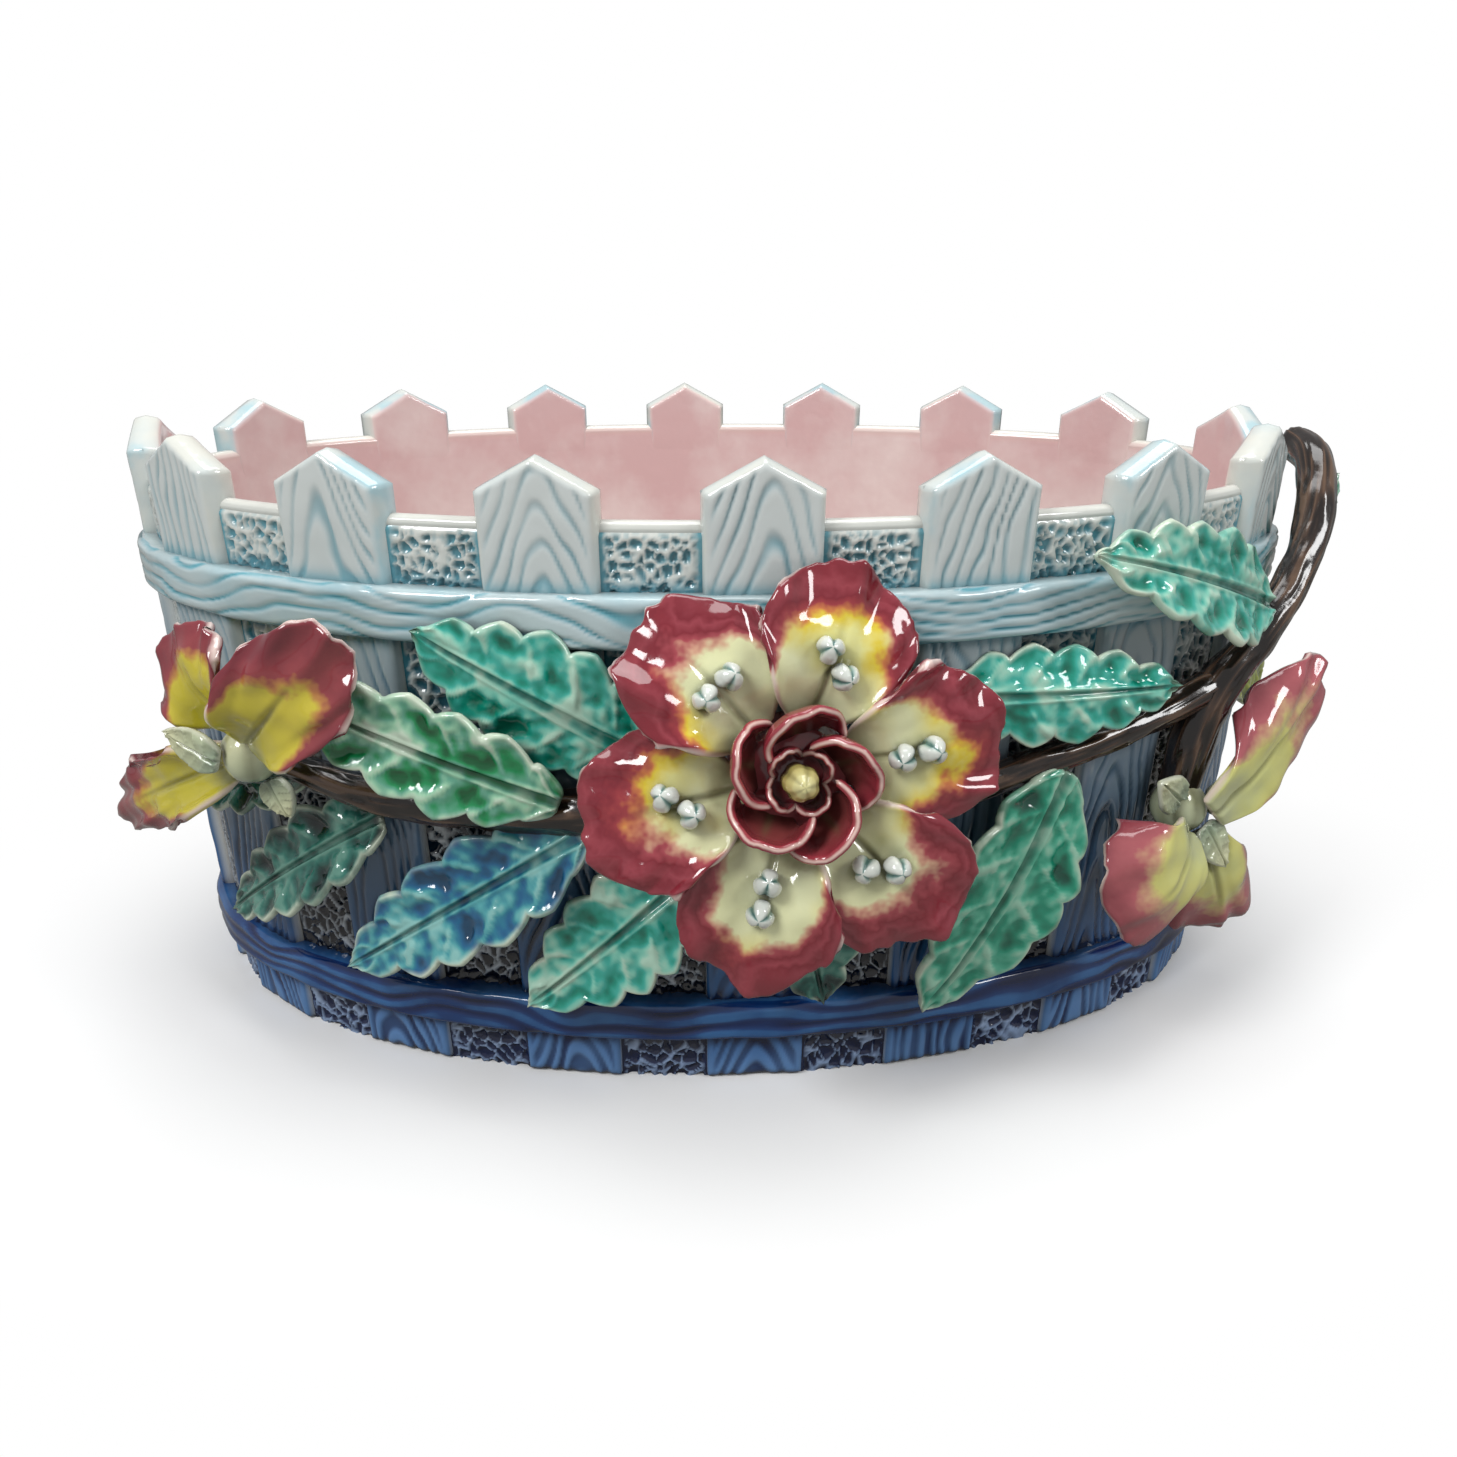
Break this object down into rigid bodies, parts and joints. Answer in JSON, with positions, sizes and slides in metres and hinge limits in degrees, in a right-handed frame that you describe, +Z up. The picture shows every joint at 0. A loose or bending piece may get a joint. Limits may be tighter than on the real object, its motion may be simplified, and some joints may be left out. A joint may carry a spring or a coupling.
{
  "type": "oval jardiniere planter",
  "caption": "Oval glazed ceramic planter moulded as a picket-fence tub with two hoops, with applied branches, toothed leaves, a large open blossom and side buds.",
  "frame": {"origin": "centre of the flat foot, on the surface that the planter stands on", "axes": "+Z up, +X along the length of the oval, -Y out of the front, where the big blossom is"},
  "size_m": [0.4183, 0.2762, 0.203],
  "materials": {
    "wall_glaze": "glossy lead glaze, pale grey to cobalt, pink inside",
    "hoop_glaze": "glossy blue glaze",
    "branch_glaze": "glossy dark brown glaze",
    "leaf_glaze": "glossy mottled green and turquoise glaze",
    "petal_glaze": "glossy crimson and yellow glaze",
    "heart_glaze": "glossy dark crimson glaze",
    "stamen_glaze": "glossy white glaze",
    "calyx_glaze": "glossy yellow-green glaze"
  },
  "bodies": {
    "root": {"blossom_cone": "calyx_glaze", "blossom_curl_1": "heart_glaze", "blossom_curl_2": "heart_glaze", "blossom_curl_3": "heart_glaze", "blossom_curl_4": "heart_glaze", "blossom_petal_1": "petal_glaze", "blossom_petal_2": "petal_glaze", "blossom_petal_3": "petal_glaze", "blossom_petal_4": "petal_glaze", "blossom_petal_5": "petal_glaze", "blossom_petal_6": "petal_glaze", "blossom_receptacle": "calyx_glaze", "blossom_ring_petal_1": "heart_glaze", "blossom_ring_petal_2": "heart_glaze", "blossom_ring_petal_3": "heart_glaze", "blossom_ring_petal_4": "heart_glaze", "blossom_ring_petal_5": "heart_glaze", "leaf_left_back": "leaf_glaze", "leaf_left_end": "leaf_glaze", "leaf_left_foot": "leaf_glaze", "leaf_left_low": "leaf_glaze", "leaf_left_middle": "leaf_glaze", "leaf_left_upper": "leaf_glaze", "leaf_right_back": "leaf_glaze", "leaf_right_low": "leaf_glaze", "leaf_right_middle": "leaf_glaze", "leaf_right_rim": "leaf_glaze", "leaf_right_side": "leaf_glaze", "leaf_under_blossom": "leaf_glaze", "left_branch": "branch_glaze", "left_bud_calyx": "calyx_glaze", "left_bud_petal_1": "petal_glaze", "left_bud_petal_2": "petal_glaze", "left_bud_petal_3": "petal_glaze", "left_bud_sepal_1": "calyx_glaze", "left_bud_sepal_2": "calyx_glaze", "lower_hoop": "hoop_glaze", "right_bloom_calyx": "calyx_glaze", "right_bloom_petal_1": "petal_glaze", "right_bloom_petal_2": "petal_glaze", "right_bloom_petal_3": "petal_glaze", "right_bloom_sepal_1": "calyx_glaze", "right_bloom_sepal_2": "calyx_glaze", "right_bloom_sepal_3": "calyx_glaze", "right_branch": "branch_glaze", "right_fork": "branch_glaze", "stamens_1": "stamen_glaze", "stamens_2": "stamen_glaze", "stamens_3": "stamen_glaze", "stamens_4": "stamen_glaze", "stamens_5": "stamen_glaze", "stamens_6": "stamen_glaze", "tub_body": "wall_glaze", "upper_hoop": "hoop_glaze"}
  },
  "joints": []
}
